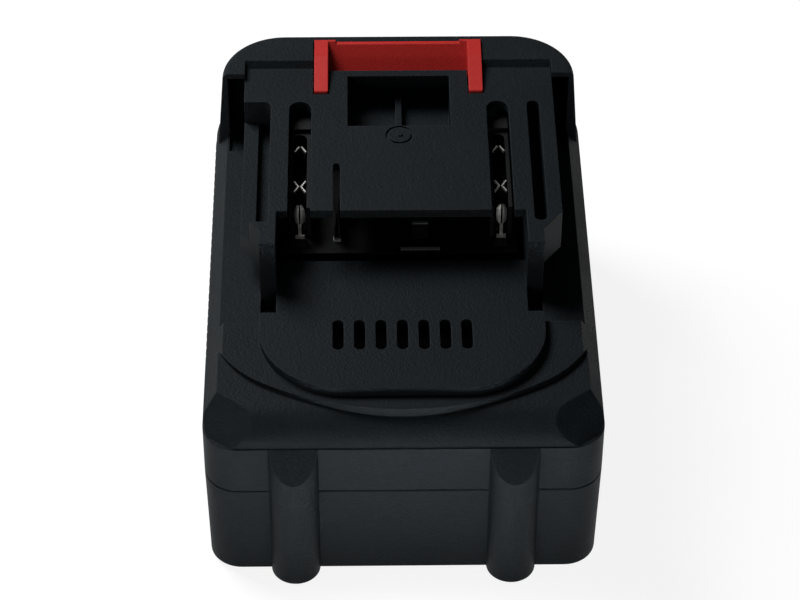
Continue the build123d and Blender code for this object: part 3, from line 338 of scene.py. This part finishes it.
def connector_plastic(name, key_top, key_y, lip_top, lip_y):
    """Black plastic, darkened further as painted shade, with a painted highlight on the front of its key's top
    and along its front lip.
    """
    material, nodes, links, shader, place = bare_material(name)
    parts = nodes.new("ShaderNodeSeparateXYZ")
    links.new(place, parts.inputs["Vector"])
    painted_glint_places = []
    for top, front_y in ((key_top, key_y), (lip_top, lip_y)):
        on_top = above(nodes, links, parts.outputs["Z"], top, softness=0.00004)
        in_front = below(nodes, links, parts.outputs["Y"], front_y, softness=0.0001)
        painted_glint_places.append(math_node(nodes, links, "MULTIPLY", on_top, in_front))
    painted_glint = math_node(nodes, links, "MAXIMUM", *painted_glint_places)
    scuffs = noise(nodes, links, place, scale=1200.0, detail=3.0)
    broken = math_node(nodes, links, "ADD", scuffs, SCUFF_LIFT)
    painted_glint = math_node(nodes, links, "MULTIPLY", painted_glint, broken)
    # Near-black colour is painted shade; light grey is a painted highlight
    tint = two_colours(nodes, links, painted_glint, (0.0006, 0.0007, 0.0008), (0.2, 0.21, 0.21))
    links.new(tint, shader.inputs["Base Color"])
    links.new(between(nodes, links, painted_glint, at_zero=0.7, at_one=0.45), shader.inputs["Roughness"])
    shader.inputs["Specular IOR Level"].default_value = 0.1
    add_bumps(nodes, links, shader, scuffs, strength=0.2, distance=0.00003)
    return material


def speckled_sheet(name, colour, second, roughness, scale, bump):
    """Fibre sheet, foam, board or sleeve: two colours mixed by noise, with a soft height."""
    material, nodes, links, shader, place = bare_material(name)
    fleck = noise(nodes, links, place, scale, detail=4.0, rough=0.6)
    tint = two_colour_ramp(nodes, links, fleck, (0.38, colour), (0.62, second))
    links.new(tint, shader.inputs["Base Color"])
    shader.inputs["Roughness"].default_value = roughness
    add_bumps(nodes, links, shader, fleck, strength=bump, distance=0.00005)
    return material


case_black = moulded_plastic(
    "Black shell plastic",
    colour=(0.0084, 0.0112, 0.0136),
    worn_and_highlit=(0.0108, 0.0142, 0.0172),
    roughness=0.56,
    grain_scale=2800.0,
    bump=1.0,
    edge_light=0.5,
    specular=0.07,
)
latch_red = moulded_plastic(
    "Latch plastic",
    colour=(0.46, 0.020, 0.016),
    worn_and_highlit=(0.40, 0.017, 0.014),
    roughness=0.5,
    grain_scale=2600.0,
    bump=0.25,
    edge_light=0.12,
    specular=0.22,
)
inner_black = moulded_plastic(
    "Terminal block plastic",
    colour=(0.003, 0.0034, 0.004),
    worn_and_highlit=(0.0045, 0.005, 0.006),
    roughness=0.6,
    grain_scale=3000.0,
    bump=0.3,
    edge_light=0.3,
    specular=0.2,
)
holder_black = moulded_plastic(
    "Holder plastic",
    colour=(0.006, 0.007, 0.009),
    worn_and_highlit=(0.009, 0.010, 0.012),
    roughness=0.55,
    grain_scale=2600.0,
    bump=0.3,
    edge_light=0.3,
    specular=0.25,
)
# Contact metal is painted dark as shade and bright as highlight; the signal contact's highlight sits only on
# the front of its foot
contact_tin = contact_metal(
    "Tinned contact metal", tip_height=0.05205, nose_y=0.0009, nose_heights=(0.0448, 0.0600)
)
signal_tin = contact_metal(
    "Signal contact metal", tip_height=0.0600, nose_y=-0.0003, nose_heights=(0.0430, 0.0448)
)
# Connector painted near black as shade, with painted highlights on its key top and front lip
connector_black = connector_plastic(
    "Connector plastic", key_top=0.04985, key_y=-0.0015, lip_top=0.0457, lip_y=-0.0048
)
spring_wire = rolled_metal("Spring wire", (0.55, 0.55, 0.54), 0.3, "z")
screw_black = rolled_metal("Blackened screw steel", (0.05, 0.05, 0.055), 0.42, "z")
nickel = rolled_metal("Nickel strip", (0.62, 0.60, 0.56), 0.34, "y")
sleeve_grey = speckled_sheet(
    "Shrink sleeve", (0.012, 0.016, 0.022), (0.016, 0.020, 0.027), roughness=0.4, scale=300.0, bump=0.1
)
fibre_sheet = speckled_sheet(
    "Fish paper", (0.16, 0.19, 0.14), (0.22, 0.25, 0.19), roughness=0.8, scale=2400.0, bump=0.6
)
pad_foam = speckled_sheet(
    "Pad foam", (0.012, 0.012, 0.013), (0.03, 0.03, 0.032), roughness=0.95, scale=3200.0, bump=1.0
)
solder_mask = speckled_sheet(
    "Solder mask", (0.004, 0.008, 0.006), (0.006, 0.012, 0.008), roughness=0.4, scale=500.0, bump=0.15
)
chip_black = speckled_sheet(
    "Chip moulding", (0.012, 0.012, 0.012), (0.02, 0.02, 0.02), roughness=0.6, scale=3000.0, bump=0.3
)

FINISH = {
    "lower_case": case_black,
    "upper_case": case_black,
    "latch_button": latch_red,
    "terminal_block": inner_black,
    "data_connector": connector_black,
    "spring_plate": inner_black,
    "case_screws": screw_black,
    "latch_spring_left": spring_wire,
    "latch_spring_right": spring_wire,
    "positive_terminal": contact_tin,
    "negative_terminal": contact_tin,
    "signal_terminal": signal_tin,
    "circuit_board": solder_mask,
    "power_transistors": chip_black,
    "foam_pad": pad_foam,
    "cell_holder_left": holder_black,
    "cell_holder_right": holder_black,
    "insulation_left": fibre_sheet,
    "insulation_right": fibre_sheet,
    "positive_lead": nickel,
    "negative_lead": nickel,
}


def finish_of(node):
    if node.startswith("cell_") and not node.startswith("cell_holder"):
        return sleeve_grey
    if node.startswith("nickel_strip"):
        return nickel
    return FINISH[node]


for node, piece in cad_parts.items():
    piece.data.materials.clear()
    piece.data.materials.append(finish_of(node))


# Mesh helpers
def made_object(name, mesh, material):
    """Object at the origin, made of a finished mesh in one material."""
    data = bpy.data.meshes.new(name)
    mesh.to_mesh(data)
    mesh.free()
    data.materials.append(material)
    made = bpy.data.objects.new(name, data)
    bpy.context.scene.collection.objects.link(made)
    return made


def of_kind(kind, geometry):
    return [part for part in geometry if isinstance(part, kind)]


# Power contacts, finer than their solids: two thin leaves behind a rounded lead-in nose.
# Lengths are in millimetres, and a plan is a line of (half width, y) points.
CONTACT_OFFSET = 20.9
CONTACT_FLOOR = 44.0
FOOT_TOP = 44.6
WALL_TOP = 47.4
FINGER_TOP = 52.55
LEAF_THICKNESS = 0.3
LEAF_PLAN = [(1.0, 1.6), (1.05, 5.0), (0.12, 6.75), (1.05, 8.5), (1.05, 17.8), (0.12, 19.5)]
WAISTED_FINGER = LEAF_PLAN[1:4]
CLOSING_FINGER = LEAF_PLAN[4:]
# Each piece starts this far inside the one below it, so that no gap shows
SINK = 0.1
# Plain blocks as (low corner, high corner)
CONTACT_FOOT = ((-1.35, -2.6, CONTACT_FLOOR), (1.35, 19.6, FOOT_TOP))
NOSE_STEP = ((-0.95, -0.9, FOOT_TOP - SINK), (0.95, -0.2, FOOT_TOP + 0.7))
NOSE_NECK = ((-0.34, -0.3, FOOT_TOP - SINK), (0.34, 0.1, 47.9))
LEAF_ROOT = ((-1.1, 1.4, FOOT_TOP - SINK), (1.1, 2.2, 45.8))
# Each half of the nose starts this far from the middle, and sweeps back towards its outer edge
NOSE_GAP = 0.19
NOSE_SHARES = (0.0, 0.35, 0.7, 1.0)
NOSE_SWEEP = 0.35
# (height, half width, y) of the nose from its foot to its narrow top
NOSE_LEVELS = [
    (47.5, 0.36, 0.0),
    (48.3, 0.95, 0.05),
    (50.0, 1.12, 0.2),
    (51.4, 1.05, 0.4),
    (52.2, 0.7, 0.55),
    (52.5, 0.36, 0.62),
]


def raise_strip(mesh, plan, low, high):
    """Thin upright wall over an open plan."""
    corners = [mesh.verts.new((half, y, low)) for half, y in plan]
    edges = [mesh.edges.new(pair) for pair in zip(corners, corners[1:])]
    raised = bmesh.ops.extrude_edge_only(mesh, edges=edges)["geom"]
    bmesh.ops.translate(mesh, verts=of_kind(bmesh.types.BMVert, raised), vec=(0, 0, high - low))
    bmesh.ops.solidify(mesh, geom=of_kind(bmesh.types.BMFace, raised), thickness=LEAF_THICKNESS)


def raise_nose_half(mesh):
    """Half of the lead-in nose: an edge that climbs through the levels, first wider and then narrow again."""
    first_height, first_half, _ = NOSE_LEVELS[0]
    row = [
        mesh.verts.new((NOSE_GAP + share * (first_half - NOSE_GAP), NOSE_SWEEP * share * share, first_height))
        for share in NOSE_SHARES
    ]
    edges = [mesh.edges.new(pair) for pair in zip(row, row[1:])]
    faces = []
    for (height, half, back_y), (next_height, next_half, next_y) in zip(NOSE_LEVELS, NOSE_LEVELS[1:]):
        raised = bmesh.ops.extrude_edge_only(mesh, edges=edges)["geom"]
        corners = of_kind(bmesh.types.BMVert, raised)
        edges = [
            edge for edge in of_kind(bmesh.types.BMEdge, raised) if all(vert in corners for vert in edge.verts)
        ]
        faces += of_kind(bmesh.types.BMFace, raised)
        bmesh.ops.translate(mesh, verts=corners, vec=(0, next_y - back_y, next_height - height))
        ratio = (next_half - NOSE_GAP) / (half - NOSE_GAP)
        bmesh.ops.scale(mesh, vec=(ratio, 1, 1), verts=corners, space=Matrix.Translation((-NOSE_GAP, 0, 0)))
    bmesh.ops.solidify(mesh, geom=faces, thickness=-LEAF_THICKNESS)


def raise_block(mesh, low, high):
    corners = bmesh.ops.create_cube(mesh, size=1.0)["verts"]
    bmesh.ops.scale(mesh, verts=corners, vec=[top - bottom for bottom, top in zip(low, high)])
    bmesh.ops.translate(mesh, verts=corners, vec=[(top + bottom) / 2 for bottom, top in zip(low, high)])


def power_contact(name, x, replaced):
    """Leaf contact centred on this x: made for one side, mirrored, and carried to its slot."""
    mesh = bmesh.new()
    raise_strip(mesh, LEAF_PLAN, FOOT_TOP - SINK, WALL_TOP)
    raise_strip(mesh, WAISTED_FINGER, WALL_TOP - SINK, FINGER_TOP)
    raise_strip(mesh, CLOSING_FINGER, WALL_TOP - SINK, FINGER_TOP)
    raise_nose_half(mesh)
    everything = list(mesh.verts) + list(mesh.edges) + list(mesh.faces)
    bmesh.ops.mirror(mesh, geom=everything, axis="X", merge_dist=-1)
    for low, high in (CONTACT_FOOT, NOSE_STEP, NOSE_NECK, LEAF_ROOT):
        raise_block(mesh, low, high)
    bmesh.ops.scale(mesh, verts=mesh.verts, vec=(MM, MM, MM))
    bmesh.ops.translate(mesh, verts=mesh.verts, vec=(x * MM, 0, 0))
    bmesh.ops.recalc_face_normals(mesh, faces=mesh.faces)
    contact = made_object(name, mesh, contact_tin)
    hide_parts(replaced)
    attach(contact, "pack")


power_contact("positive_leaf_contact", CONTACT_OFFSET, "positive_terminal")
power_contact("negative_leaf_contact", -CONTACT_OFFSET, "negative_terminal")


# Latch springs: wound wire in place of the plain tubes
WIRE_RADIUS = 0.3 * MM
WIRE_SIDES = 8
STEPS_PER_TURN = 16
CLOSED_TURNS = 1
OPEN_TURNS = 4


def latch_spring(name, replaced):
    """Coil with one closed turn at each end, wound up from its seat on the spring plate."""
    low, high = (Vector(corner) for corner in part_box(replaced))
    middle = (low + high) / 2
    mesh = bmesh.new()
    start = Vector((high.x - WIRE_RADIUS, middle.y, low.z + WIRE_RADIUS))
    upright = Matrix.Translation(start) @ Matrix.Rotation(math.radians(90.0), 4, "X")
    bmesh.ops.create_circle(mesh, segments=WIRE_SIDES, radius=WIRE_RADIUS, matrix=upright)
    closed_rise = 2 * WIRE_RADIUS * CLOSED_TURNS
    open_rise = high.z - low.z - 2 * WIRE_RADIUS - 2 * closed_rise
    section = list(mesh.edges)
    for turns, rise in ((CLOSED_TURNS, closed_rise), (OPEN_TURNS, open_rise), (CLOSED_TURNS, closed_rise)):
        steps = turns * STEPS_PER_TURN
        wound = bmesh.ops.spin(
            mesh,
            geom=section,
            cent=middle,
            axis=(0, 0, 1),
            dvec=(0, 0, rise / steps),
            angle=math.radians(360.0 * turns),
            steps=steps,
        )
        section = of_kind(bmesh.types.BMEdge, wound["geom_last"])
    bmesh.ops.holes_fill(mesh, edges=mesh.edges, sides=WIRE_SIDES)
    bmesh.ops.recalc_face_normals(mesh, faces=mesh.faces)
    spring = made_object(name, mesh, spring_wire)
    for face in spring.data.polygons:
        face.use_smooth = True
    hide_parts(replaced)
    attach(spring, "pack")
    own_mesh(spring)


latch_spring("latch_coil_left", "latch_spring_left")
latch_spring("latch_coil_right", "latch_spring_right")


# Floor and lamps. The floor lies a hair below the pack, so that their faces don't share a plane.
FLOOR_HALF_SIZE = 3.0
FLOOR_GAP = 0.0002
PAPER_GREY = 0.45
SHADE_GREY = 0.2
FLOOR_GLOW = 0.88
SKY_LIGHT = 0.05
AIM = (0.0, 0.0, 0.03)
UNDER_FLOOR_LAMP = (0.0, -0.17, 0.0)


def grey_paper(nodes, grey):
    paper = nodes.new("ShaderNodeBsdfDiffuse")
    paper.inputs["Color"].default_value = (grey, grey, grey, 1)
    return paper.outputs["BSDF"]


def mixed_shaders(nodes, links, factor, first, second):
    mix = nodes.new("ShaderNodeMixShader")
    links.new(factor, mix.inputs["Fac"])
    links.new(first, mix.inputs[1])
    links.new(second, mix.inputs[2])
    return mix.outputs["Shader"]


def studio_paper():
    """Grey to bounced light, near white where the camera, a reflection or glass sees it, clear from below."""
    material = bpy.data.materials.new("Studio floor")
    material.use_nodes = True
    nodes, links = material.node_tree.nodes, material.node_tree.links
    nodes.clear()
    paper = grey_paper(nodes, PAPER_GREY)
    glow = nodes.new("ShaderNodeEmission")
    glow.inputs["Color"].default_value = (1, 1, 1, 1)
    glow.inputs["Strength"].default_value = FLOOR_GLOW
    both = nodes.new("ShaderNodeAddShader")
    links.new(grey_paper(nodes, SHADE_GREY), both.inputs[0])
    links.new(glow.outputs["Emission"], both.inputs[1])
    rays = nodes.new("ShaderNodeLightPath")
    seen = math_node(nodes, links, "ADD", rays.outputs["Is Camera Ray"], rays.outputs["Is Glossy Ray"])
    seen = math_node(nodes, links, "ADD", seen, rays.outputs["Is Transmission Ray"])
    front = mixed_shaders(nodes, links, clamped(nodes, links, seen), paper, both.outputs["Shader"])
    side = nodes.new("ShaderNodeNewGeometry")
    clear = nodes.new("ShaderNodeBsdfTransparent")
    surface = mixed_shaders(nodes, links, side.outputs["Backfacing"], front, clear.outputs["BSDF"])
    output = nodes.new("ShaderNodeOutputMaterial")
    links.new(surface, output.inputs["Surface"])
    return material


def studio_floor():
    mesh = bmesh.new()
    bmesh.ops.create_grid(mesh, x_segments=1, y_segments=1, size=FLOOR_HALF_SIZE)
    bmesh.ops.translate(mesh, verts=mesh.verts, vec=(0, 0, -FLOOR_GAP))
    return made_object("studio_floor", mesh, studio_paper())


def lamp(name, place, aim, size, power, spread=180.0):
    """Square soft lamp, whose beam can be narrowed to a spread in degrees."""
    data = bpy.data.lights.new(name, "AREA")
    data.shape = "SQUARE"
    data.size = size
    data.energy = power
    data.spread = math.radians(spread)
    lamp_object = bpy.data.objects.new(name, data)
    lamp_object.location = place
    lamp_object.rotation_euler = (Vector(aim) - Vector(place)).to_track_quat("-Z", "Y").to_euler()
    bpy.context.scene.collection.objects.link(lamp_object)
    return lamp_object


def studio_world():
    """White sky to the camera and through glass, and only a faint light on the pack."""
    world = bpy.data.worlds.new("Studio world")
    world.use_nodes = True
    nodes, links = world.node_tree.nodes, world.node_tree.links
    faint = nodes["Background"]
    white = nodes.new("ShaderNodeBackground")
    for sky, strength in ((faint, SKY_LIGHT), (white, 1.0)):
        sky.inputs["Color"].default_value = (1, 1, 1, 1)
        sky.inputs["Strength"].default_value = strength
    rays = nodes.new("ShaderNodeLightPath")
    seen = math_node(nodes, links, "ADD", rays.outputs["Is Camera Ray"], rays.outputs["Is Transmission Ray"])
    sky = mixed_shaders(nodes, links, seen, faint.outputs["Background"], white.outputs["Background"])
    links.new(sky, nodes["World Output"].inputs["Surface"])
    return world


studio = [
    studio_floor(),
    lamp("key_lamp", (-0.22, 0.18, 0.39), AIM, size=0.21, power=2.2),
    lamp("front_lamp", (-0.25, -0.75, 0.10), AIM, size=0.25, power=1.0),
    lamp("floor_lamp", (0.0, -0.17, 0.26), UNDER_FLOOR_LAMP, size=0.05, power=1.15, spread=40.0),
]
bpy.context.scene.world = studio_world()

# Camera, as fitted to the photograph
FOCAL_PIXELS = 2909.6
PICTURE_WIDTH = 800
SENSOR_WIDTH = 36.0
CAMERA_PLACE = (-8.458 * MM, -451.78 * MM, 447.765 * MM)
CAMERA_RIGHT = Vector((0.99988361, -0.01463363, 0.00431439))
CAMERA_UP = Vector((0.00682532, 0.68197785, 0.73134098))

camera_data = bpy.data.cameras.new("camera")
camera_data.sensor_width = SENSOR_WIDTH
camera_data.lens = FOCAL_PIXELS / PICTURE_WIDTH * SENSOR_WIDTH
camera_data.clip_start = 0.05
camera_data.clip_end = 20.0
camera = bpy.data.objects.new("camera", camera_data)
bpy.context.scene.collection.objects.link(camera)
camera_back = CAMERA_RIGHT.cross(CAMERA_UP).normalized()
facing = Matrix((CAMERA_RIGHT, CAMERA_UP, camera_back)).transposed().to_4x4()
camera.matrix_world = Matrix.Translation(CAMERA_PLACE) @ facing
bpy.context.scene.camera = camera

bpy.context.scene.view_settings.view_transform = "Standard"
